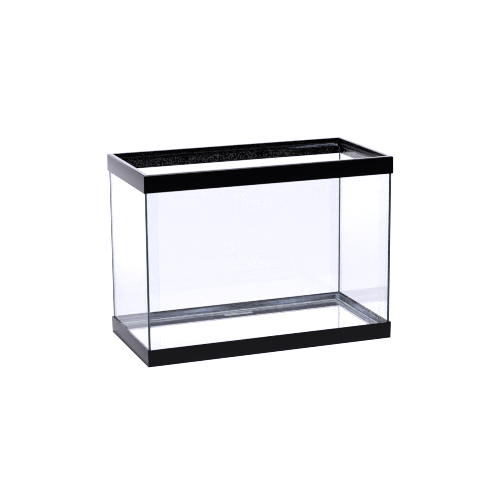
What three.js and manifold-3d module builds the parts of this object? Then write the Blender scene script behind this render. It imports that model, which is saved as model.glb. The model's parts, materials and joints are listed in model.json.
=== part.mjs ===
// Glass aquarium tank: five glass panes bonded edge to face with silicone, sealed inside with
// silicone beads, and held between a moulded plastic top frame and a moulded plastic bottom frame.
// Millimetres, +Z up. The origin is under the middle of the tank, at the level it stands on.
// X runs along the length, and the front pane faces -Y.

import * as THREE from 'three';
import { mergeVertices } from 'three/addons/utils/BufferGeometryUtils.js';
import Module from 'manifold-3d';

const wasm = await Module();
wasm.setup();

// Outside of the whole tank
const tankLength = 411;
const tankWidth = 203;
const tankHeight = 298.5;

// Both moulded frames. Their insets are measured inwards from the outer faces of the frames.
const skirtWall = 1.7;
const cornerRadius = 0.8;
const innerCornerRadius = 0.6;
const arcSegments = 5;

// Top frame: a flat rim, a step down to the ledge that a lid rests on, and a lip below the ledge
const topFrameHeight = 27.5;
const rimWidth = 8;
const rimThickness = 2;
const stepWall = 2;
const ledgeDrop = 7;
const ledgeInset = 13;
const ledgeThickness = 1.8;
const lipDrop = 12.5;
const lipThickness = 1.6;
const gussetLeg = 7;

// Moulded ribs in pairs on the long sides: stops on the step wall, and glass keepers behind the lip
const ribSpread = 65;
const ribPitch = 6;
const ribWidth = 1.6;
const stopRibReach = 1.4;
const keeperOffset = 9;
const keeperDrop = 21;
const keeperInset = 4.8;

// Bottom frame: a skirt that stands on the floor, and the seat that the glass rests on
const bottomFrameHeight = 27;
const seatTop = 9;
const seatInset = 8;
const seatThickness = 1.8;

// Glass, with the play that it has inside the skirts: glassGap across, endGap along
const glassThickness = 2.5;
const glassGap = 0.3;
const endGap = 0.9;
const glassBottom = 11;
const glassTop = 294;

// Silicone
const bondGap = 0.05;
const seamSpace = 0.6;
const cornerBeadAlong = 16.5;
const cornerBeadAcross = 12.6;
const floorBeadLeg = 11.5;
const beadEdge = 0.35;
const beadHollowPower = 3;
const beadSteps = 12;
const beadClearance = 0.3;
const beddingGap = 0.3;

// Blank label stuck to the underside of the floor pane, near the back
const labelCentreX = 9.5;
const labelCentreY = 84.8;
const labelLength = 50;
const labelWidth = 13.6;
const labelThickness = 0.25;
const labelCorner = 1.5;

// Planes that follow from the sizes above
const halfLength = tankLength / 2;
const halfWidth = tankWidth / 2;
const glassInset = skirtWall + glassGap;
const glassHalfLength = halfLength - skirtWall - endGap;
const glassHalfWidth = halfWidth - glassInset;
const insideHalfLength = glassHalfLength - glassThickness;
const insideHalfWidth = glassHalfWidth - glassThickness;
const paneEndY = insideHalfWidth - seamSpace;
const floorHalfLength = insideHalfLength - seamSpace;
const floorTop = glassBottom + glassThickness;
const ledgeTop = tankHeight - ledgeDrop;
const ledgeBottom = ledgeTop - ledgeThickness;

const plastic = { color: 0x0c0b0f, roughness: 0.34, metalness: 0 };
const glass = { color: 0xdfe9ec, roughness: 0.04, metalness: 0 };
const silicone = { color: 0xc9d3d4, roughness: 0.28, metalness: 0 };
const paper = { color: 0xe4e6ea, roughness: 0.7, metalness: 0 };

const tank = new THREE.Group();

// ---- Solids and meshes ----

function toSolid(geometry) {
  const bare = geometry.clone();
  bare.deleteAttribute('normal');
  bare.deleteAttribute('uv');
  const merged = mergeVertices(bare, 1e-4);
  const mesh = new wasm.Mesh({
    numProp: 3,
    vertProperties: new Float32Array(merged.attributes.position.array),
    triVerts: new Uint32Array(merged.index.array),
  });
  return new wasm.Manifold(mesh);
}

function toGeometry(solid) {
  const mesh = solid.getMesh();
  const geometry = new THREE.BufferGeometry();
  geometry.setAttribute('position', new THREE.BufferAttribute(mesh.vertProperties, 3));
  geometry.setIndex(new THREE.BufferAttribute(mesh.triVerts, 1));
  geometry.computeVertexNormals();
  return geometry;
}

function union(geometries) {
  return geometries.map(toSolid).reduce((joined, next) => joined.add(next));
}

function addPiece(name, geometry, finish) {
  const mesh = new THREE.Mesh(geometry, new THREE.MeshStandardMaterial(finish));
  mesh.name = name;
  tank.add(mesh);
  return mesh;
}

function boxBetween(low, high) {
  const size = high.map((value, axis) => value - low[axis]);
  const geometry = new THREE.BoxGeometry(...size);
  geometry.translate(...low.map((value, axis) => value + size[axis] / 2));
  return geometry;
}

// ---- Flat outlines ----

function roundedRectangle(path, halfX, halfY, radius) {
  const x = halfX - radius;
  const y = halfY - radius;
  path.moveTo(x, -halfY);
  path.absarc(x, -y, radius, -Math.PI / 2, 0);
  path.absarc(x, y, radius, 0, Math.PI / 2);
  path.absarc(-x, y, radius, Math.PI / 2, Math.PI);
  path.absarc(-x, -y, radius, Math.PI, Math.PI * 1.5);
  path.closePath();
  return path;
}

// A rectangular ring between two insets from the tank's outer faces, from one height to another
function ring(outerInset, innerInset, bottom, top) {
  const outerRadius = outerInset === 0 ? cornerRadius : innerCornerRadius;
  const shape = roundedRectangle(
    new THREE.Shape(), halfLength - outerInset, halfWidth - outerInset, outerRadius);
  shape.holes.push(roundedRectangle(
    new THREE.Path(), halfLength - innerInset, halfWidth - innerInset, innerCornerRadius));
  const geometry = new THREE.ExtrudeGeometry(shape, {
    depth: top - bottom, bevelEnabled: false, curveSegments: arcSegments,
  });
  geometry.translate(0, 0, bottom);
  return geometry;
}

// ---- Moulded frames ----

// A triangular plate that ties two sides of the ledge together in one corner
function ledgeGusset(signX, signY) {
  const cornerX = signX * (halfLength - ledgeInset + 1);
  const cornerY = signY * (halfWidth - ledgeInset + 1);
  const shape = new THREE.Shape();
  shape.moveTo(cornerX, cornerY);
  shape.lineTo(cornerX - signX * (gussetLeg + 1), cornerY);
  shape.lineTo(cornerX, cornerY - signY * (gussetLeg + 1));
  shape.closePath();
  const geometry = new THREE.ExtrudeGeometry(shape, {
    depth: ledgeThickness, bevelEnabled: false,
  });
  geometry.translate(0, 0, ledgeBottom);
  return geometry;
}

// A rib on the front or back side, standing inwards from one inset to another
function longSideRib(side, centreX, outerInset, innerInset, bottom, top) {
  const faces = [side * (halfWidth - outerInset), side * (halfWidth - innerInset)];
  return boxBetween(
    [centreX - ribWidth / 2, Math.min(...faces), bottom],
    [centreX + ribWidth / 2, Math.max(...faces), top]);
}

function topFrame() {
  const lipBottom = tankHeight - lipDrop;
  const pieces = [
    ring(0, skirtWall, tankHeight - topFrameHeight, tankHeight),
    ring(0, rimWidth, tankHeight - rimThickness, tankHeight),
    ring(rimWidth - stepWall, rimWidth, ledgeBottom, tankHeight),
    ring(rimWidth - stepWall, ledgeInset, ledgeBottom, ledgeTop),
    ring(ledgeInset - lipThickness, ledgeInset, lipBottom, ledgeTop),
  ];
  for (const signX of [-1, 1]) {
    for (const signY of [-1, 1]) {
      pieces.push(ledgeGusset(signX, signY));
      for (const turn of [-0.5, 0.5]) {
        const stopX = signX * ribSpread + turn * ribPitch;
        const keeperX = stopX - keeperOffset;
        const stopInset = rimWidth + stopRibReach;
        pieces.push(longSideRib(
          signY, stopX, rimWidth - stepWall / 2, stopInset, ledgeBottom, tankHeight - 1));
        pieces.push(longSideRib(
          signY, keeperX, keeperInset, ledgeInset, tankHeight - keeperDrop, ledgeTop - 1));
      }
    }
  }
  return toGeometry(union(pieces));
}

function bottomFrame() {
  return toGeometry(union([
    ring(0, skirtWall, 0, bottomFrameHeight),
    ring(skirtWall / 2, seatInset, seatTop - seatThickness, seatTop),
  ]));
}

// ---- Glass ----

function addPanes() {
  for (const [name, side] of [['front_pane', -1], ['back_pane', 1]]) {
    const faces = [side * glassHalfWidth, side * insideHalfWidth];
    addPiece(name, boxBetween(
      [-glassHalfLength, Math.min(...faces), glassBottom],
      [glassHalfLength, Math.max(...faces), glassTop]), glass);
  }
  for (const [name, side] of [['left_pane', -1], ['right_pane', 1]]) {
    const faces = [side * glassHalfLength, side * insideHalfLength];
    addPiece(name, boxBetween(
      [Math.min(...faces), -paneEndY, glassBottom],
      [Math.max(...faces), paneEndY, glassTop]), glass);
  }
  addPiece('floor_pane', boxBetween(
    [-floorHalfLength, -paneEndY, glassBottom],
    [floorHalfLength, paneEndY, floorTop]), glass);
}

// ---- Silicone glue lines between the edge of one pane and the face of the next ----

function addSeams() {
  const nearWall = insideHalfWidth - bondGap;
  const nearEnd = insideHalfLength - bondGap;
  for (const [sideName, signX] of [['left', -1], ['right', 1]]) {
    const xs = [signX * insideHalfLength, signX * glassHalfLength];
    for (const [endName, signY] of [['front', -1], ['back', 1]]) {
      const ys = [signY * (paneEndY + bondGap), signY * nearWall];
      addPiece(`seam_${endName}_${sideName}`, boxBetween(
        [Math.min(...xs), Math.min(...ys), glassBottom],
        [Math.max(...xs), Math.max(...ys), glassTop]), silicone);
    }
    const floorXs = [signX * (floorHalfLength + bondGap), signX * nearEnd];
    addPiece(`floor_seam_${sideName}`, boxBetween(
      [Math.min(...floorXs), -nearWall, glassBottom],
      [Math.max(...floorXs), nearWall, floorTop]), silicone);
  }
  for (const [endName, signY] of [['front', -1], ['back', 1]]) {
    const ys = [signY * (paneEndY + bondGap), signY * nearWall];
    addPiece(`floor_seam_${endName}`, boxBetween(
      [-floorHalfLength, Math.min(...ys), glassBottom],
      [floorHalfLength, Math.max(...ys), floorTop]), silicone);
  }
}

// ---- Sealing beads along the inside corners ----

// The bead's section in the corner of two walls: a hollow curve between two thin smeared edges.
// margin grows the section outwards, to make a cutter that keeps its neighbours clear.
function beadSection(legU, legV, margin = 0) {
  const points = [new THREE.Vector2(0, 0), new THREE.Vector2(legU + margin, 0)];
  for (let step = 0; step <= beadSteps; step += 1) {
    const along = step / beadSteps;
    points.push(new THREE.Vector2(
      beadEdge + margin + (legU - beadEdge) * (1 - along) ** beadHollowPower,
      beadEdge + margin + (legV - beadEdge) * along ** beadHollowPower));
  }
  points.push(new THREE.Vector2(0, legV + margin));
  return new THREE.Shape(points);
}

// A floor bead as if along the front wall: U runs away from the wall, V up, and the two ends are
// cut at 45 degrees to meet the beads of the side walls.
function floorBeadGeometry(wallHalf, mitreGap, margin = 0) {
  const geometry = new THREE.ExtrudeGeometry(beadSection(floorBeadLeg, floorBeadLeg, margin), {
    depth: 2, bevelEnabled: false,
  });
  const position = geometry.attributes.position;
  for (let i = 0; i < position.count; i += 1) {
    const u = position.getX(i);
    const v = position.getY(i);
    const end = position.getZ(i) > 1 ? 1 : -1;
    position.setXYZ(i, end * (wallHalf - mitreGap - u), u, v);
  }
  return toOutwardGeometry(geometry);
}

// Moving the points of an extrusion may turn it inside out, so its faces are wound again
function toOutwardGeometry(geometry) {
  const bare = geometry.clone();
  bare.deleteAttribute('normal');
  bare.deleteAttribute('uv');
  const merged = mergeVertices(bare, 1e-4);
  const index = merged.index.array;
  const corner = [new THREE.Vector3(), new THREE.Vector3(), new THREE.Vector3()];
  let volume = 0;
  for (let i = 0; i < index.length; i += 3) {
    corner.forEach((point, n) => point.fromBufferAttribute(merged.attributes.position, index[i + n]));
    volume += corner[0].dot(corner[1].clone().cross(corner[2]));
  }
  if (volume < 0) {
    for (let i = 0; i < index.length; i += 3) {
      [index[i], index[i + 1]] = [index[i + 1], index[i]];
    }
  }
  merged.computeVertexNormals();
  return merged;
}

// The four places of a floor bead: its name, its turn about Z, and how far away the wall is
function floorBeadPlaces() {
  return [
    ['front', 0, insideHalfWidth, insideHalfLength],
    ['right', Math.PI / 2, insideHalfLength, insideHalfWidth],
    ['back', Math.PI, insideHalfWidth, insideHalfLength],
    ['left', -Math.PI / 2, insideHalfLength, insideHalfWidth],
  ];
}

function placedFloorBead(turn, wallDistance, wallHalf, mitreGap, margin) {
  const geometry = floorBeadGeometry(wallHalf - bondGap, mitreGap, margin);
  geometry.translate(0, -wallDistance + bondGap, floorTop + bondGap);
  geometry.rotateZ(turn);
  return geometry;
}

function addFloorBeads() {
  for (const [name, turn, wallDistance, wallHalf] of floorBeadPlaces()) {
    const geometry = placedFloorBead(turn, wallDistance, wallHalf, beadClearance / 2, 0);
    addPiece(`floor_bead_${name}`, geometry, silicone);
  }
}

function cornerBeadGeometry(signX, signY) {
  const section = beadSection(cornerBeadAlong, cornerBeadAcross);
  const bottom = floorTop + bondGap;
  const top = ledgeBottom - beadClearance;
  const geometry = new THREE.ExtrudeGeometry(section, { depth: top - bottom, bevelEnabled: false });
  geometry.translate(0, 0, bottom);
  geometry.scale(-signX, -signY, 1);
  geometry.translate(
    signX * (insideHalfLength - bondGap), signY * (insideHalfWidth - bondGap), 0);
  return toOutwardGeometry(geometry);
}

// The corner beads end on the floor beads, with a clearance between them
function addCornerBeads() {
  const cutters = floorBeadPlaces().map(([, turn, wallDistance, wallHalf]) => toSolid(
    placedFloorBead(turn, wallDistance, wallHalf, -beadClearance, beadClearance)));
  for (const [sideName, signX] of [['left', -1], ['right', 1]]) {
    for (const [endName, signY] of [['front', -1], ['back', 1]]) {
      const whole = toSolid(cornerBeadGeometry(signX, signY));
      const cut = cutters.reduce((left, cutter) => left.subtract(cutter), whole);
      addPiece(`corner_bead_${endName}_${sideName}`, toGeometry(cut), silicone);
    }
  }
}

// ---- Silicone bedding between the glass and the frames ----

function addBedding() {
  addPiece('top_bedding', ring(
    glassInset + bondGap, rimWidth - stepWall - beddingGap,
    glassTop + bondGap, tankHeight - rimThickness - beddingGap), silicone);
  addPiece('bottom_bedding', ring(
    glassInset + bondGap, seatInset - beddingGap,
    seatTop + beddingGap, glassBottom - bondGap), silicone);
}

// ---- Blank label ----

function addLabel() {
  const outline = roundedRectangle(new THREE.Shape(), labelLength / 2, labelWidth / 2, labelCorner);
  const geometry = new THREE.ExtrudeGeometry(outline, {
    depth: labelThickness, bevelEnabled: false, curveSegments: arcSegments,
  });
  const bottom = glassBottom - bondGap - labelThickness;
  geometry.translate(labelCentreX, labelCentreY, bottom);
  addPiece('blank_label', geometry, paper);
}

addPiece('top_frame', topFrame(), plastic);
addPiece('bottom_frame', bottomFrame(), plastic);
addPanes();
addSeams();
addFloorBeads();
addCornerBeads();
addBedding();
addLabel();

export default tank;
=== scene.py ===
"""Glass aquarium tank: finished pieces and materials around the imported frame, in metres."""

import json
import math

import bmesh
import bpy
from mathutils import Matrix, Vector, noise


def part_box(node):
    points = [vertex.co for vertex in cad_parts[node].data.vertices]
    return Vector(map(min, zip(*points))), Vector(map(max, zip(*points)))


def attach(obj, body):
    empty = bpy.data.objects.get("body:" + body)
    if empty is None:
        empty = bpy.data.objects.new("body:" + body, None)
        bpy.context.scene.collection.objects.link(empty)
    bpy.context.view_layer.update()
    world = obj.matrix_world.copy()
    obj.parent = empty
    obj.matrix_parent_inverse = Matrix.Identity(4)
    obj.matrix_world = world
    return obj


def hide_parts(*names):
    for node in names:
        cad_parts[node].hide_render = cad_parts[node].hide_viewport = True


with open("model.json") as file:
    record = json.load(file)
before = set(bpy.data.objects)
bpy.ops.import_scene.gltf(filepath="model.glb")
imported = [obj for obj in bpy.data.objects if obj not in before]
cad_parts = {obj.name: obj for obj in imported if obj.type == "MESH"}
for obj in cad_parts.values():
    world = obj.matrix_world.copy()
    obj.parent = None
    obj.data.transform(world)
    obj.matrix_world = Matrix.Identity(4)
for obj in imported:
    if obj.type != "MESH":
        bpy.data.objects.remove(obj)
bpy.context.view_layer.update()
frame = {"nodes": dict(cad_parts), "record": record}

MM = 0.001

# ---------------------------------------------------------------- sizes read from the frame

mounts = {mount["name"]: mount for mount in frame["record"]["mounts"]}
top_low, top_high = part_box("top_frame")

HALF_LENGTH, HALF_WIDTH, HEIGHT = top_high
SKIRT_BOTTOM = top_low[2]
BOTTOM_FRAME_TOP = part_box("bottom_frame")[1][2]
LEDGE_TOP = mounts["lid_ledge"]["pos_m"][2]
INSIDE_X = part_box("right_pane")[0][0]
INSIDE_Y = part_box("back_pane")[0][1]
FLOOR_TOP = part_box("floor_pane")[1][2]

# Sections of the mouldings, which only the finished shapes need
SKIRT_WALL = 1.7 * MM
RIM_WIDTH = 8 * MM
RIM_THICKNESS = 2 * MM
STEP_WALL = 2 * MM
LEDGE_INSET = 13 * MM
LEDGE_THICKNESS = 1.8 * MM
LIP_DROP = 12.5 * MM
LIP_THICKNESS = 1.6 * MM
SEAT_INSET = 8 * MM
SEAT_TOP = 9 * MM
SEAT_THICKNESS = 1.8 * MM
OUTER_CORNER = 0.8 * MM
INNER_CORNER = 0.6 * MM
CORNER_STEPS = 6
DRAFT = 0.35 * MM
GUSSET_LEG = 7 * MM
RIM_CHAMFER = 1.3 * MM

# Ribs in pairs on the long sides of the top frame
RIB_SPREAD = 65 * MM
RIB_PITCH = 6 * MM
RIB_WIDTH = 1.6 * MM
STOP_INSETS = (7 * MM, 9.4 * MM)
KEEPER_INSETS = (4.8 * MM, 13 * MM)
KEEPER_OFFSET = 9 * MM
KEEPER_DROP = 21 * MM

# Panes and glue lines
PANE_ARRIS = 0.5 * MM
SEAM_GROWTH = 0.08 * MM
SEAM_STEP = 4 * MM
SEAM_HOLLOW = 0.25 * MM
SEAM_DRIFT = 0.1 * MM

# Sealing silicone. LAP is how far it sinks into the glass, so that the two touch with no film
# of air between them.
LAP = 0.03 * MM
FLOOR_FILM = 0.5 * MM
FLOOR_FILLET = 3.2 * MM
FLOOR_CORE = 2.3 * MM
CORNER_FILM = 0.16 * MM
FRONT_FILLET = 1 * MM
BACK_FILLET = 6 * MM
SMEAR_ALONG = 95 * MM
SMEAR_ACROSS = 5 * MM
SMEAR_FILLET = 2.2 * MM
SMEAR_CORE = 4 * MM
CORNER_MILK = 8 * MM
EDGE_STEPS = 4
FILM_STEPS = 9
FILLET_STEPS = 4
FLOOR_BEAD_LEG = 12.2 * MM
CORNER_BEAD_ALONG = 16.5 * MM
CORNER_BEAD_ACROSS = 12.6 * MM
FLOOR_BEAD_STEP = 2.5 * MM
CORNER_BEAD_STEP = 3 * MM
BEAD_TOP_GAP = 0.3 * MM
EDGE_WANDER = 0.7 * MM
SMEAR_STEPS = 6
MILK_RISE = 1 * MM
MILK_WANDER = 0.5 * MM
EDGE_MILK_REACH = 2.2 * MM


# ---------------------------------------------------------------- materials


class Nodes:
    """Short calls for building one material's node tree."""

    def __init__(self, tree):
        self.tree = tree

    def add(self, kind, inputs=None, **settings):
        node = self.tree.nodes.new("ShaderNode" + kind)
        for key, value in settings.items():
            setattr(node, key, value)
        for key, value in (inputs or {}).items():
            self.put(node.inputs[key], value)
        return node

    def put(self, socket, value):
        if isinstance(value, bpy.types.NodeSocket):
            self.tree.links.new(value, socket)
        else:
            socket.default_value = value

    def math(self, operation, first, second=0.0, clamp=False):
        node = self.add("Math", operation=operation, use_clamp=clamp)
        self.put(node.inputs[0], first)
        self.put(node.inputs[1], second)
        return node.outputs[0]

    def remap(self, value, low, high, to_low, to_high):
        node = self.add("MapRange", {
            "Value": value, "From Min": low, "From Max": high, "To Min": to_low, "To Max": to_high})
        return node.outputs["Result"]

    def mix_shader(self, factor, first, second):
        node = self.add("MixShader")
        self.put(node.inputs[0], factor)
        self.put(node.inputs[1], first)
        self.put(node.inputs[2], second)
        return node.outputs[0]

    def mix_colour(self, factor, first, second):
        node = self.add("Mix", data_type="RGBA")
        self.put(node.inputs[0], factor)
        self.put(node.inputs[6], first)
        self.put(node.inputs[7], second)
        return node.outputs[2]

    def noise(self, scale, detail=3.0, roughness=0.5, vector=None):
        node = self.add("TexNoise", {"Scale": scale, "Detail": detail, "Roughness": roughness})
        if vector is not None:
            self.put(node.inputs["Vector"], vector)
        return node.outputs["Fac"]

    def bump(self, height, strength, distance):
        node = self.add("Bump", {"Height": height, "Strength": strength, "Distance": distance})
        return node.outputs["Normal"]


def new_material(name):
    material = bpy.data.materials.new(name)
    material.use_nodes = True
    material.node_tree.nodes.clear()
    nodes = Nodes(material.node_tree)
    place = nodes.add("TexCoord").outputs["Object"]
    return material, nodes, place


def finish_material(material, nodes, surface):
    output = nodes.add("OutputMaterial")
    nodes.put(output.inputs["Surface"], surface)
    return material


def moulded_plastic():
    """Black injection-moulded plastic: soft gloss, very fine grain, slight flow streaks."""
    material, nodes, place = new_material("moulded_plastic")
    grain = nodes.noise(2600.0, 2.0, 0.6, place)
    flow_place = nodes.add("Mapping", {"Vector": place, "Scale": (6.0, 6.0, 60.0)})
    flow = nodes.noise(3.0, 3.0, 0.5, flow_place.outputs[0])
    edge = nodes.add("NewGeometry").outputs["Pointiness"]
    wear = nodes.remap(edge, 0.52, 0.62, 0.0, 0.2)
    colour = nodes.mix_colour(flow, (0.0005, 0.0004, 0.0008, 1), (0.0014, 0.0012, 0.0022, 1))
    colour = nodes.mix_colour(wear, colour, (0.012, 0.012, 0.015, 1))
    roughness = nodes.remap(flow, 0.3, 0.7, 0.16, 0.24)
    shader = nodes.add("BsdfPrincipled", {
        "Base Color": colour, "Roughness": roughness, "IOR": 1.49,
        "Normal": nodes.bump(grain, 0.02, 0.0002)})
    return finish_material(material, nodes, shader.outputs[0])


def painted_light_plastic():
    """A matt copy of the black plastic for the inner faces under the floor pane, painted grey instead
    of black as painted light, mottled at random.
    """
    material, nodes, place = new_material("painted_light_plastic")
    light_mottle = nodes.noise(120.0, 4.0, 0.6, place)
    grain = nodes.noise(2600.0, 2.0, 0.6, place)
    # Painted light: grey in place of the black that the same plastic has outside
    colour = nodes.mix_colour(light_mottle, (0.07, 0.07, 0.085, 1), (0.15, 0.15, 0.175, 1))
    shader = nodes.add("BsdfPrincipled", {
        "Base Color": colour, "Roughness": nodes.remap(light_mottle, 0.3, 0.7, 0.4, 0.55), "IOR": 1.49,
        "Normal": nodes.bump(grain, 0.05, 0.0002)})
    return finish_material(material, nodes, shader.outputs[0])


def soft_light_through(nodes, seen, lamp_tint):
    """Swaps a bending shader for a plain pane, for the light that only lights up surfaces."""
    path = nodes.add("LightPath")
    soft_ray = nodes.math(
        "MAXIMUM", path.outputs["Is Shadow Ray"], path.outputs["Is Diffuse Ray"])
    straight = nodes.add("BsdfTransparent", {"Color": lamp_tint})
    return nodes.mix_shader(soft_ray, seen, straight.outputs[0])


def see_through(nodes, tint, ior, normal, lamp_tint):
    """A shader that bends and mirrors light, and lets the light of lamps straight through."""
    bent = nodes.add("BsdfRefraction", {"Color": tint, "IOR": ior, "Roughness": 0.0})
    shine = nodes.add("BsdfGlossy", {"Color": (1, 1, 1, 1), "Roughness": 0.0})
    fresnel = nodes.add("Fresnel", {"IOR": ior})
    for node in (bent, shine, fresnel):
        nodes.put(node.inputs["Normal"], normal)
    seen = nodes.mix_shader(fresnel.outputs[0], bent.outputs[0], shine.outputs[0])
    return soft_light_through(nodes, seen, lamp_tint)


def float_glass():
    """Clear float glass with the faintest waviness."""
    material, nodes, place = new_material("float_glass")
    wave = nodes.noise(5.0, 1.0, 0.4, place)
    normal = nodes.bump(wave, 0.02, 0.0004)
    surface = see_through(
        nodes, (0.99, 0.992, 0.992, 1), 1.52, normal, (0.97, 0.98, 0.985, 1))
    return finish_material(material, nodes, surface)


def cut_glass_edge():
    """The ground edge of a pane, dark green because light gathers along the glass."""
    material, nodes, place = new_material("cut_glass_edge")
    mottle = nodes.noise(260.0, 4.0, 0.6, place)
    chips = nodes.noise(1500.0, 2.0, 0.5, place)
    colour = nodes.mix_colour(mottle, (0.02, 0.05, 0.042, 1), (0.045, 0.09, 0.078, 1))
    shader = nodes.add("BsdfPrincipled", {
        "Base Color": colour, "Roughness": nodes.remap(mottle, 0.3, 0.7, 0.5, 0.65),
        "IOR": 1.3, "Specular IOR Level": 0.25, "Normal": nodes.bump(chips, 0.15, 0.0003)})
    return finish_material(material, nodes, shader.outputs[0])


def clear_silicone():
    """Cured clear sealant: a rubbery gloss, a trace of milk, and a painted cool sheen on the milk's
    upright faces.
    """
    material, nodes, place = new_material("clear_silicone")
    cloud = nodes.noise(160.0, 3.0, 0.5, place)
    specks = nodes.noise(900.0, 2.0, 0.5, place)
    relief = nodes.math("ADD", cloud, nodes.math("MULTIPLY", specks, 0.1))
    normal = nodes.bump(relief, 0.06, 0.0004)
    clear = see_through(nodes, (0.985, 0.992, 0.995, 1), 1.41, normal, (0.97, 0.98, 0.985, 1))
    # Painted sheen: the milky body is cool blue on upright faces and pale grey on faces that look up
    facing = nodes.add("NewGeometry").outputs["True Normal"]
    upward = nodes.add("SeparateXYZ", {"Vector": facing}).outputs["Z"]
    colour = nodes.mix_colour(
        nodes.remap(upward, 0.3, 0.7, 0.0, 1.0), (0.58, 0.67, 0.82, 1), (0.8, 0.83, 0.85, 1))
    body = nodes.add("BsdfPrincipled", {
        "Base Color": colour, "Roughness": 0.3, "IOR": 1.41, "Normal": normal})
    milk = nodes.add("Attribute", attribute_name="milk").outputs["Fac"]
    patchy = nodes.math("MULTIPLY", milk, nodes.remap(cloud, 0.3, 0.7, 0.75, 1.2))
    surface = nodes.mix_shader(patchy, clear, body.outputs[0])
    return finish_material(material, nodes, surface)


def silicone_on_glass():
    """The side of the sealant that sticks to glass, where nothing is mirrored."""
    material, nodes, place = new_material("silicone_on_glass")
    trace = nodes.noise(300.0, 3.0, 0.5, place)
    tint = nodes.mix_colour(trace, (0.985, 0.99, 0.99, 1), (0.995, 1.0, 1.0, 1))
    bent = nodes.add("BsdfRefraction", {"Color": tint, "IOR": 1.41, "Roughness": 0.0})
    surface = soft_light_through(nodes, bent.outputs[0], (0.97, 0.98, 0.985, 1))
    return finish_material(material, nodes, surface)


def label_film():
    """The plain back of a stuck-on label."""
    material, nodes, place = new_material("label_film")
    fibre = nodes.noise(700.0, 4.0, 0.6, place)
    colour = nodes.mix_colour(fibre, (0.88, 0.89, 0.92, 1), (0.95, 0.96, 0.98, 1))
    shader = nodes.add("BsdfPrincipled", {
        "Base Color": colour, "Roughness": nodes.remap(fibre, 0.3, 0.7, 0.5, 0.65),
        "Normal": nodes.bump(fibre, 0.1, 0.0002)})
    return finish_material(material, nodes, shader.outputs[0])


PLASTIC = moulded_plastic()
PAINTED_LIGHT_PLASTIC = painted_light_plastic()
GLASS = float_glass()
GLASS_EDGE = cut_glass_edge()
SILICONE = clear_silicone()
SILICONE_ON_GLASS = silicone_on_glass()
LABEL = label_film()


# ---------------------------------------------------------------- shapes


def add_piece(name, mesh, materials):
    """Links a finished mesh as one piece that rides on the tank, with the materials it is given."""
    for material in materials:
        mesh.materials.append(material)
    piece = bpy.data.objects.new(name, mesh)
    bpy.context.scene.collection.objects.link(piece)
    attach(piece, "root")
    return piece


def mesh_from(name, vertices, faces):
    mesh = bpy.data.meshes.new(name)
    mesh.from_pydata([tuple(vertex) for vertex in vertices], [], faces)
    shape = bmesh.new()
    shape.from_mesh(mesh)
    bmesh.ops.remove_doubles(shape, verts=shape.verts, dist=1e-7)
    bmesh.ops.recalc_face_normals(shape, faces=shape.faces)
    shape.to_mesh(mesh)
    shape.free()
    return mesh


def smooth(mesh, sharp_degrees=32):
    mesh.shade_smooth()
    mesh.set_sharp_from_angle(angle=math.radians(sharp_degrees))


def rounded_section(corners, steps=4):
    """A closed section from (inset, height, fillet radius) corners, with each corner as an arc."""
    section = []
    count = len(corners)
    for i, (x, z, radius) in enumerate(corners):
        here = Vector((x, z))
        before = (Vector(corners[i - 1][:2]) - here).normalized()
        after = (Vector(corners[(i + 1) % count][:2]) - here).normalized()
        half_angle = before.angle(after) / 2
        reach = radius / math.tan(half_angle)
        centre = here + (before + after).normalized() * (radius / math.sin(half_angle))
        start = here + before * reach - centre
        end = here + after * reach - centre
        turn = start.angle_signed(end)
        for step in range(steps + 1):
            spot = start.copy()
            spot.rotate(Matrix.Rotation(-turn * step / steps, 2))
            section.append(centre + spot)
    return section


def corner_radius(inset):
    return max(OUTER_CORNER - inset, INNER_CORNER)


def sweep_ring(name, section):
    """Sweeps a section of (inset, height) points round the tank, with rounded corners."""
    quarter_signs = ((1, -1), (1, 1), (-1, 1), (-1, -1))
    vertices = []
    for corner, (sign_x, sign_y) in enumerate(quarter_signs):
        for step in range(CORNER_STEPS + 1):
            angle = math.pi / 2 * (corner - 1 + step / CORNER_STEPS)
            for inset, height in section:
                radius = corner_radius(inset)
                x = sign_x * (HALF_LENGTH - inset - radius) + radius * math.cos(angle)
                y = sign_y * (HALF_WIDTH - inset - radius) + radius * math.sin(angle)
                vertices.append((x, y, height))
    rows = len(quarter_signs) * (CORNER_STEPS + 1)
    width = len(section)
    faces = []
    for row in range(rows):
        following = (row + 1) % rows
        for i in range(width):
            j = (i + 1) % width
            faces.append((
                row * width + i, following * width + i, following * width + j, row * width + j))
    return mesh_from(name, vertices, faces)


def top_frame_section():
    top = HEIGHT
    lip_bottom = HEIGHT - LIP_DROP
    ledge_bottom = LEDGE_TOP - LEDGE_THICKNESS
    channel_top = HEIGHT - RIM_THICKNESS
    return rounded_section([
        (0.0, SKIRT_BOTTOM, 0.3 * MM),
        (DRAFT, top - RIM_CHAMFER, 0.3 * MM),
        (DRAFT + RIM_CHAMFER, top, 0.3 * MM),
        (RIM_WIDTH, top, 0.5 * MM),
        (RIM_WIDTH, LEDGE_TOP, 0.3 * MM),
        (LEDGE_INSET, LEDGE_TOP, 0.35 * MM),
        (LEDGE_INSET, lip_bottom, 0.4 * MM),
        (LEDGE_INSET - LIP_THICKNESS, lip_bottom, 0.4 * MM),
        (LEDGE_INSET - LIP_THICKNESS, ledge_bottom, 0.4 * MM),
        (RIM_WIDTH - STEP_WALL, ledge_bottom, 0.4 * MM),
        (RIM_WIDTH - STEP_WALL, channel_top, 0.3 * MM),
        (SKIRT_WALL, channel_top, 0.3 * MM),
        (SKIRT_WALL, SKIRT_BOTTOM, 0.3 * MM),
    ])


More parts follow.
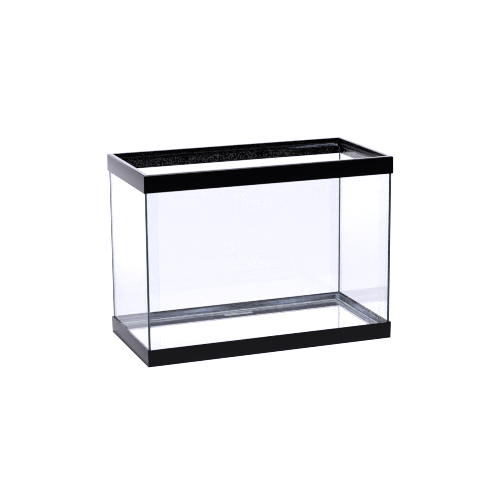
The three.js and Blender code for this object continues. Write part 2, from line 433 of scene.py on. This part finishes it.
def bottom_frame_section():
    seat_bottom = SEAT_TOP - SEAT_THICKNESS
    top = BOTTOM_FRAME_TOP
    return rounded_section([
        (DRAFT, 0.0, 0.3 * MM),
        (0.0, top, 0.4 * MM),
        (SKIRT_WALL, top, 0.3 * MM),
        (SKIRT_WALL, SEAT_TOP, 0.3 * MM),
        (SEAT_INSET, SEAT_TOP, 0.4 * MM),
        (SEAT_INSET, seat_bottom, 0.4 * MM),
        (SKIRT_WALL, seat_bottom, 0.5 * MM),
        (SKIRT_WALL, 0.0, 0.3 * MM),
    ])


def add_prism(shape, outline, bottom, top, bevel):
    """Adds an upright prism with worn edges to a bmesh. Its outline is in X and Y."""
    rings = [
        [shape.verts.new((x, y, z)) for x, y in outline]
        for z in (bottom, top)
    ]
    count = len(outline)
    faces = [
        shape.faces.new((
            rings[0][i], rings[0][(i + 1) % count], rings[1][(i + 1) % count], rings[1][i]))
        for i in range(count)
    ]
    faces.append(shape.faces.new(rings[0]))
    faces.append(shape.faces.new(rings[1]))
    bmesh.ops.recalc_face_normals(shape, faces=faces)
    edges = {edge for face in faces for edge in face.edges}
    bmesh.ops.bevel(shape, geom=list(edges), offset=bevel, segments=2, affect="EDGES", profile=0.5)


def ledge_gusset_outline(sign_x, sign_y):
    """A triangle in one inside corner of the ledge, which starts 1 mm inside the ledge."""
    root = 1 * MM
    x = HALF_LENGTH - LEDGE_INSET + root
    y = HALF_WIDTH - LEDGE_INSET + root
    leg = GUSSET_LEG + root
    return [
        (sign_x * x, sign_y * y), (sign_x * (x - leg), sign_y * y), (sign_x * x, sign_y * (y - leg))]


def rib_outline(sign_y, centre_x, insets):
    near, far = (sign_y * (HALF_WIDTH - inset) for inset in insets)
    left, right = centre_x - RIB_WIDTH / 2, centre_x + RIB_WIDTH / 2
    return [(left, near), (right, near), (right, far), (left, far)]


def top_frame_details(mesh):
    """Adds the corner gussets, the lid stops and the glass keepers to the swept top frame.

    Each one is a closed shell of its own that passes into the ring. They aren't united with it.
    """
    shape = bmesh.new()
    shape.from_mesh(mesh)
    ledge_bottom = LEDGE_TOP - LEDGE_THICKNESS
    for sign_x in (-1, 1):
        for sign_y in (-1, 1):
            add_prism(
                shape, ledge_gusset_outline(sign_x, sign_y), ledge_bottom + 0.05 * MM,
                LEDGE_TOP - 0.05 * MM, 0.25 * MM)
            for turn in (-0.5, 0.5):
                stop = sign_x * RIB_SPREAD + turn * RIB_PITCH
                add_prism(
                    shape, rib_outline(sign_y, stop, STOP_INSETS), ledge_bottom + 0.1 * MM,
                    HEIGHT - 1 * MM, 0.3 * MM)
                add_prism(
                    shape, rib_outline(sign_y, stop - KEEPER_OFFSET, KEEPER_INSETS),
                    HEIGHT - KEEPER_DROP, LEDGE_TOP - 1 * MM, 0.3 * MM)
    shape.to_mesh(mesh)
    shape.free()


def mark_painted_light_faces(mesh):
    """Gives the second plastic, the grey copy with painted light, to the inner faces of the bottom
    frame, under the floor pane.
    """
    for face in mesh.polygons:
        inset = min(HALF_LENGTH - abs(face.center.x), HALF_WIDTH - abs(face.center.y))
        inner = inset > SKIRT_WALL - 0.1 * MM and face.center.z < SEAT_TOP + 0.1 * MM
        face.material_index = 1 if inner else 0


def make_frame(node, section, finish_shape, materials):
    mesh = sweep_ring(node, section)
    finish_shape(mesh)
    smooth(mesh)
    piece = add_piece(node + "_moulding", mesh, materials)
    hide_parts(node)


def make_frames():
    make_frame("top_frame", top_frame_section(), top_frame_details, [PLASTIC])
    make_frame(
        "bottom_frame", bottom_frame_section(), mark_painted_light_faces, [PLASTIC, PAINTED_LIGHT_PLASTIC])


def make_pane(node, thin_axis):
    """A pane with its arrises taken off. Its two big faces are clear and its edges are green."""
    low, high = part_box(node)
    shape = bmesh.new()
    bmesh.ops.create_cube(shape, size=1.0)
    size = Vector(high) - Vector(low)
    middle = (Vector(high) + Vector(low)) / 2
    bmesh.ops.scale(shape, vec=size, verts=shape.verts)
    bmesh.ops.translate(shape, vec=middle, verts=shape.verts)
    bmesh.ops.bevel(
        shape, geom=shape.edges[:], offset=PANE_ARRIS, segments=1, affect="EDGES", profile=0.5)
    for face in shape.faces:
        face.material_index = 0 if abs(face.normal[thin_axis]) > 0.99 else 1
    mesh = bpy.data.meshes.new(node)
    shape.to_mesh(mesh)
    shape.free()
    piece = add_piece(node + "_glass", mesh, [GLASS, GLASS_EDGE])
    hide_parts(node)


def make_panes():
    for node in ("front_pane", "back_pane"):
        make_pane(node, 1)
    for node in ("left_pane", "right_pane"):
        make_pane(node, 0)
    make_pane("floor_pane", 2)


def ripple(film, along, across, seed):
    """Tool marks in silicone: streaks that run far along the bead and change fast across it."""
    long_wave = noise.noise(Vector((along * 22.0, across * 150.0, seed)))
    fine_wave = noise.noise(Vector((along * 60.0, across * 600.0, seed + 7.3)))
    return film * (0.32 * long_wave + 0.1 * fine_wave)


def smeared_leg(leg, film, fillet, along, seed):
    """One leg of a bead, as (along the wall, away from it), from its edge to its core.

    The leg is a thin film with a rounded edge. Its last eighth of a turn is half of the fillet.
    """
    edge = leg - film
    bend = film + fillet
    points = []
    for step in range(EDGE_STEPS):
        angle = math.pi / 2 * step / EDGE_STEPS
        points.append((edge + film * math.cos(angle), film * math.sin(angle)))
    for step in range(FILM_STEPS):
        place = edge + (bend - edge) * step / FILM_STEPS
        mark = ripple(film, along, place, seed) * min(1.0, 2 * step / FILM_STEPS)
        points.append((place, film + mark))
    for step in range(FILLET_STEPS + 1):
        angle = math.pi / 4 * step / FILLET_STEPS
        place = bend - fillet * math.sin(angle)
        mark = ripple(film, along, place, seed)
        points.append((place, bend - fillet * math.cos(angle) + mark))
    return points


def bead_section(leg_u, leg_v, film, fillet, along, seed):
    """The bead's section in the corner of two walls, as (u, v) away from the two walls.

    The two smeared edges wander a little along the bead, and its face carries tool marks.
    """
    leg_u += EDGE_WANDER * noise.noise(Vector((along * 14.0, 3.1, seed)))
    leg_v += EDGE_WANDER * noise.noise(Vector((along * 14.0, 9.7, seed)))
    first = smeared_leg(leg_u, film, fillet, along, seed)
    second = [(v, u) for u, v in smeared_leg(leg_v, film, fillet, along, seed + 4.4)]
    middle_u = (first[-1][0] + second[-1][0]) / 2
    middle_v = (first[-1][1] + second[-1][1]) / 2
    return [
        (-LAP, -LAP), (leg_u, -LAP), *first[:-1], (middle_u, middle_v), *reversed(second[:-1]),
        (-LAP, leg_v)]


def loft(name, sections, closed):
    """Joins a row of sections, each a closed loop of points, into one solid or one ring."""
    width = len(sections[0])
    vertices = [point for section in sections for point in section]
    faces = []
    last = len(sections) if closed else len(sections) - 1
    for row in range(last):
        following = (row + 1) % len(sections)
        for i in range(width):
            j = (i + 1) % width
            faces.append((
                row * width + i, following * width + i, following * width + j, row * width + j))
    if not closed:
        faces.append(tuple(range(width)))
        faces.append(tuple((len(sections) - 1) * width + i for i in range(width)))
    return mesh_from(name, vertices, faces)


def floor_bead_ring():
    """One bead round the foot of all four walls, mitred in the corners."""
    sides = (
        (Vector((1, 0)), Vector((0, -1)), INSIDE_X, INSIDE_Y),
        (Vector((0, 1)), Vector((1, 0)), INSIDE_Y, INSIDE_X),
        (Vector((-1, 0)), Vector((0, 1)), INSIDE_X, INSIDE_Y),
        (Vector((0, -1)), Vector((-1, 0)), INSIDE_Y, INSIDE_X),
    )
    sections = []
    walked = 0.0
    for run, outward, half_run, wall in sides:
        steps = round(2 * half_run / FLOOR_BEAD_STEP)
        for step in range(steps):
            share = 2 * step / steps - 1
            along = walked + (share + 1) * half_run
            section = bead_section(
                FLOOR_BEAD_LEG, FLOOR_BEAD_LEG, FLOOR_FILM, FLOOR_FILLET, along, 1.7)
            sections.append([
                (*(run * (share * (half_run - u)) + outward * (wall - u)), FLOOR_TOP + v)
                for u, v in section
            ])
        walked += 2 * half_run
    return loft("floor_beads", sections, True)


def corner_bead(sign_x, sign_y):
    """An upright bead in one corner of the walls, from the floor pane to just below the ledge."""
    bottom = FLOOR_TOP - LAP
    top = LEDGE_TOP - LEDGE_THICKNESS - BEAD_TOP_GAP
    steps = round((top - bottom) / CORNER_BEAD_STEP)
    fillet = BACK_FILLET if sign_y > 0 else FRONT_FILLET
    sections = []
    for step in range(steps + 1):
        height = bottom + (top - bottom) * step / steps
        section = bead_section(
            CORNER_BEAD_ALONG, CORNER_BEAD_ACROSS, CORNER_FILM, fillet,
            height, 20.0 + 3 * sign_x + sign_y)
        sections.append([
            (sign_x * (INSIDE_X - u), sign_y * (INSIDE_Y - v), height) for u, v in section])
    return loft("corner_bead", sections, False)


def lip_smear():
    """Sealant wiped along the frame's lip in the back right corner. Its top enters the gusset."""
    bottom = HEIGHT - LIP_DROP + 0.5 * MM
    top = LEDGE_TOP - 0.6 * MM
    sections = []
    for step in range(SMEAR_STEPS + 1):
        share = step / SMEAR_STEPS
        height = bottom + (top - bottom) * share
        belly = math.sin(math.pi * (0.1 + 0.8 * share))
        section = bead_section(
            SMEAR_ALONG * belly, SMEAR_ACROSS * belly, CORNER_FILM, SMEAR_FILLET, height, 31.0)
        sections.append([
            (HALF_LENGTH - LEDGE_INSET - u, HALF_WIDTH - LEDGE_INSET - v, height)
            for u, v in section])
    return loft("lip_smear", sections, False)


def fuse(meshes, name):
    """Unites solids, so that no wall is left between them inside the clear silicone."""
    bodies = [bpy.data.objects.new(name, mesh) for mesh in meshes]
    for body in bodies:
        bpy.context.scene.collection.objects.link(body)
    for body in bodies[1:]:
        union = bodies[0].modifiers.new("union", "BOOLEAN")
        union.operation = "UNION"
        union.solver = "EXACT"
        union.object = body
    graph = bpy.context.evaluated_depsgraph_get()
    fused = bpy.data.meshes.new_from_object(bodies[0].evaluated_get(graph))
    for body in bodies:
        bpy.data.objects.remove(body)
    fused.name = name
    fused.materials.clear()
    return fused


def from_glass(point):
    """How far a point is from the floor pane and from the nearer wall."""
    return point.z - FLOOR_TOP, min(INSIDE_X - abs(point.x), INSIDE_Y - abs(point.y))


def fade_out(distance, reach):
    return max(0.0, 1.0 - distance / reach)


def bead_milk(point):
    """How milky a bead is: streaky along the floor, pale at the core and in the corners."""
    above, from_wall = from_glass(point)
    along = point.x + point.y
    across = above - from_wall
    low = min(FLOOR_BEAD_LEG - above, MILK_RISE) / MILK_RISE
    wander = MILK_WANDER * noise.noise(Vector((along * 18.0, 2.0, 8.0)))
    core = 0.95 * fade_out(abs(across + wander), FLOOR_CORE)
    streak = noise.noise(Vector((along * 12.0, across * 420.0, 5.0)))
    leg = (0.2 if across > 0 else 0.38) + 0.45 * max(streak, -0.3)
    from_side = INSIDE_X - abs(point.x)
    corner = fade_out(math.hypot(from_side, INSIDE_Y - abs(point.y)), CORNER_MILK)
    edge = fade_out(abs(from_side - CORNER_BEAD_ALONG), EDGE_MILK_REACH) if point.y < 0 else 0.0
    return max(core, low * leg, low * corner, low * edge)


def smear_milk(point):
    """How milky the smear on the frame's lip is: wiped streaks, and a pale core."""
    wiped = noise.noise(Vector((point.x * 14.0, point.z * 500.0, 3.0)))
    from_corner = math.hypot(
        HALF_LENGTH - LEDGE_INSET - point.x, HALF_WIDTH - LEDGE_INSET - point.y)
    return max(0.12 + 0.4 * wiped, 0.9 * fade_out(from_corner, SMEAR_CORE))


def on_lip(point):
    """True on the smear, which is inside the lip all round. The beads are behind the lip."""
    inside_x = abs(point.x) < HALF_LENGTH - LEDGE_INSET + 2 * LAP
    inside_y = abs(point.y) < HALF_WIDTH - LEDGE_INSET + 2 * LAP
    return inside_x and inside_y and point.z > HEIGHT - LIP_DROP


def store_milk(mesh):
    milk = mesh.attributes.new("milk", "FLOAT", "POINT")
    for vertex, stored in zip(mesh.vertices, milk.data):
        place = vertex.co
        stored.value = max(0.0, smear_milk(place) if on_lip(place) else bead_milk(place))


def mark_glass_side(mesh):
    """Gives the second material to the faces that sink into the glass."""
    for face in mesh.polygons:
        above, from_wall = from_glass(face.center)
        face.material_index = 1 if min(above, from_wall) < -LAP / 2 else 0


def make_beads():
    """The sealing silicone inside the tank: the beads as one body, and the smear beside them."""
    corners = [corner_bead(x, y) for x in (-1, 1) for y in (-1, 1)]
    mesh = fuse([floor_bead_ring(), *corners, lip_smear()], "inside_sealing_beads")
    store_milk(mesh)
    mark_glass_side(mesh)
    smooth(mesh, 40)
    piece = add_piece("inside_sealing_beads", mesh, [SILICONE, SILICONE_ON_GLASS])
    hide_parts(*(node for node in frame["nodes"] if "_bead_" in node))


def make_glue_line(node, run_axis, thin_axis):
    """A glue line between two panes. It sinks in along its thin axis, and its open sides wander."""
    low, high = (Vector(corner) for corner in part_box(node))
    low[thin_axis] -= SEAM_GROWTH
    high[thin_axis] += SEAM_GROWTH
    open_axis = 3 - run_axis - thin_axis
    steps = max(2, round((high[run_axis] - low[run_axis]) / SEAM_STEP))
    sections = []
    for step in range(steps + 1):
        place = low[run_axis] + (high[run_axis] - low[run_axis]) * step / steps
        section = []
        for end, corner, first, second in ((0, low, low, high), (1, high, high, low)):
            for thin in (first[thin_axis], (low[thin_axis] + high[thin_axis]) / 2, second[thin_axis]):
                hollow = SEAM_HOLLOW if thin not in (low[thin_axis], high[thin_axis]) else 0.0
                drift = SEAM_DRIFT * (1 + noise.noise(Vector((place * 40.0, end * 5.0, 2.2))))
                point = Vector((0, 0, 0))
                point[run_axis] = place
                point[thin_axis] = thin
                point[open_axis] = corner[open_axis] + (1 - 2 * end) * (hollow + drift)
                section.append(tuple(point))
        sections.append(section)
    mesh = loft(node, sections, False)
    for face in mesh.polygons:
        face.material_index = 1 if abs(face.normal[thin_axis]) > 0.9 else 0
    smooth(mesh)
    piece = add_piece(node + "_silicone", mesh, [SILICONE, SILICONE_ON_GLASS])
    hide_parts(node)


def make_glue_lines():
    for node in frame["nodes"]:
        if node.startswith("seam_"):
            make_glue_line(node, 2, 1)
        elif node in ("floor_seam_front", "floor_seam_back"):
            make_glue_line(node, 0, 1)
        elif node in ("floor_seam_left", "floor_seam_right"):
            make_glue_line(node, 1, 0)


def dress_bedding_and_label():
    for node in ("top_bedding", "bottom_bedding"):
        frame["nodes"][node].material_slots[0].material = SILICONE
    frame["nodes"]["blank_label"].material_slots[0].material = LABEL


make_frames()
make_panes()
make_beads()
make_glue_lines()
dress_bedding_and_label()


# ---------------------------------------------------------------- stage, light and camera

# Radiance of the white backdrop as it is seen straight or through glass, and of the rest of the
# studio as it shows in reflections: white behind, with a pool of light on the floor, painted
# shade on the floor beside the tank and round its foot, one weak soft box overhead, dark in front.
SEEN_WHITE = (1.12, 1.115, 1.26, 1)
# Painted shadow: the floor from the tank's front face back to the pool of light, darker in
# reflections
FLOOR_SHADE_BESIDE = (0.78, 0.77, 0.91, 1)
FLOOR_POOL = (1.3, 1.28, 1.5, 1)
FLOOR_BEHIND = (0.97, 0.955, 1.13, 1)
FLOOR_IN_FRONT = (0.22, 0.215, 0.25, 1)
BACKDROP = (2.2, 2.16, 2.5, 1)
UPPER_DARK = (0.1, 0.1, 0.12, 1)
SOFT_BOX = (3.0, 2.95, 3.3, 1)
FRONT_DARK = (0.006, 0.006, 0.008, 1)
CONTACT_SHADE = (0.2, 0.2, 0.23, 1)
CONTACT_REACH = 7 * MM
FLOOR_REACH = 9.0


def first_look(nodes, seen, mirrored):
    """One colour for rays that nothing has mirrored yet, and another for mirrored ones."""
    path = nodes.add("LightPath")
    bounced = nodes.math("GREATER_THAN", path.outputs["Glossy Depth"], 0.5)
    return nodes.mix_colour(bounced, seen, mirrored)


def smooth_step(nodes, value, low, high):
    node = nodes.add("MapRange", {
        "Value": value, "From Min": low, "From Max": high, "To Min": 0.0, "To Max": 1.0},
        interpolation_type="SMOOTHSTEP")
    return node.outputs["Result"]


def make_floor():
    mesh = bpy.data.meshes.new("floor")
    mesh.from_pydata(
        [(x, y, 0) for x, y in (
            (-FLOOR_REACH, -FLOOR_REACH), (FLOOR_REACH, -FLOOR_REACH),
            (FLOOR_REACH, FLOOR_REACH), (-FLOOR_REACH, FLOOR_REACH))],
        [], [(0, 1, 2, 3)])
    floor = bpy.data.objects.new("floor", mesh)
    bpy.context.scene.collection.objects.link(floor)
    material, nodes, place = new_material("pale_floor")
    material.cycles.emission_sampling = "NONE"
    split = nodes.add("SeparateXYZ", {"Vector": place})
    dark = smooth_step(nodes, split.outputs["Y"], -0.7, -0.35)
    # Painted shadow on the floor beside and under the tank, as reflections see it
    shade_beside = smooth_step(nodes, split.outputs["Y"], -0.106, -0.098)
    pool = smooth_step(nodes, split.outputs["Y"], 0.2, 0.9)
    behind = smooth_step(nodes, split.outputs["Y"], 1.2, 1.8)
    mirrored = nodes.mix_colour(dark, FRONT_DARK, FLOOR_IN_FRONT)
    mirrored = nodes.mix_colour(shade_beside, mirrored, FLOOR_SHADE_BESIDE)
    mirrored = nodes.mix_colour(pool, mirrored, FLOOR_POOL)
    mirrored = nodes.mix_colour(behind, mirrored, FLOOR_BEHIND)
    beyond_x = nodes.math("SUBTRACT", nodes.math("ABSOLUTE", split.outputs["X"]), HALF_LENGTH)
    beyond_y = nodes.math("SUBTRACT", nodes.math("ABSOLUTE", split.outputs["Y"]), HALF_WIDTH)
    beyond = nodes.math("MAXIMUM", beyond_x, beyond_y)
    outside = nodes.math("GREATER_THAN", beyond, 0.0)
    clear = smooth_step(nodes, beyond, 0.0, CONTACT_REACH)
    shade = nodes.math("MULTIPLY", outside, nodes.math("SUBTRACT", 1.0, clear))
    mirrored = nodes.mix_colour(shade, mirrored, CONTACT_SHADE)
    light = nodes.add("Emission", {"Color": first_look(nodes, SEEN_WHITE, mirrored)})
    finish_material(material, nodes, light.outputs[0])
    mesh.materials.append(material)


def make_world():
    world = bpy.data.worlds.new("studio")
    bpy.context.scene.world = world
    world.use_nodes = True
    # Sampled light is read as unmirrored, so it would light the plastic with the seen white
    world.cycles.sampling_method = "NONE"
    world.node_tree.nodes.clear()
    nodes = Nodes(world.node_tree)
    direction = nodes.add("TexCoord").outputs["Generated"]
    split = nodes.add("SeparateXYZ", {"Vector": direction})
    behind = smooth_step(nodes, split.outputs["Y"], -0.3, 0.2)
    above = smooth_step(nodes, split.outputs["Z"], 0.26, 0.34)
    overhead = smooth_step(nodes, split.outputs["Z"], 0.88, 0.93)
    sweep = nodes.mix_colour(above, BACKDROP, UPPER_DARK)
    room = nodes.mix_colour(behind, FRONT_DARK, sweep)
    mirrored = nodes.mix_colour(overhead, room, SOFT_BOX)
    background = nodes.add("Background", {
        "Color": first_look(nodes, SEEN_WHITE, mirrored), "Strength": 1.0})
    output = nodes.add("OutputWorld")
    nodes.put(output.inputs["Surface"], background.outputs[0])


def make_camera():
    """A long lens, to the left of the front and a little above."""
    azimuth, elevation, roll = (math.radians(a) for a in (-20.7, 13.86, -0.45))
    back = Vector((
        math.sin(azimuth) * math.cos(elevation),
        -math.cos(azimuth) * math.cos(elevation),
        math.sin(elevation)))
    right = (-back).cross(Vector((0, 0, 1))).normalized()
    up = right.cross(-back)
    tilted_right = right * math.cos(roll) + up * math.sin(roll)
    tilted_up = up * math.cos(roll) - right * math.sin(roll)
    data = bpy.data.cameras.new("camera")
    data.lens = 108.2
    data.sensor_width = 36.0
    camera = bpy.data.objects.new("camera", data)
    place = Matrix((tilted_right, tilted_up, back)).transposed().to_4x4()
    place.translation = (-0.8324, -2.2040, 0.7241)
    camera.matrix_world = place
    bpy.context.scene.collection.objects.link(camera)
    bpy.context.scene.camera = camera


make_floor()
make_world()
make_camera()
bpy.context.scene.view_settings.view_transform = "Standard"
bpy.context.scene.cycles.filter_width = 1.0
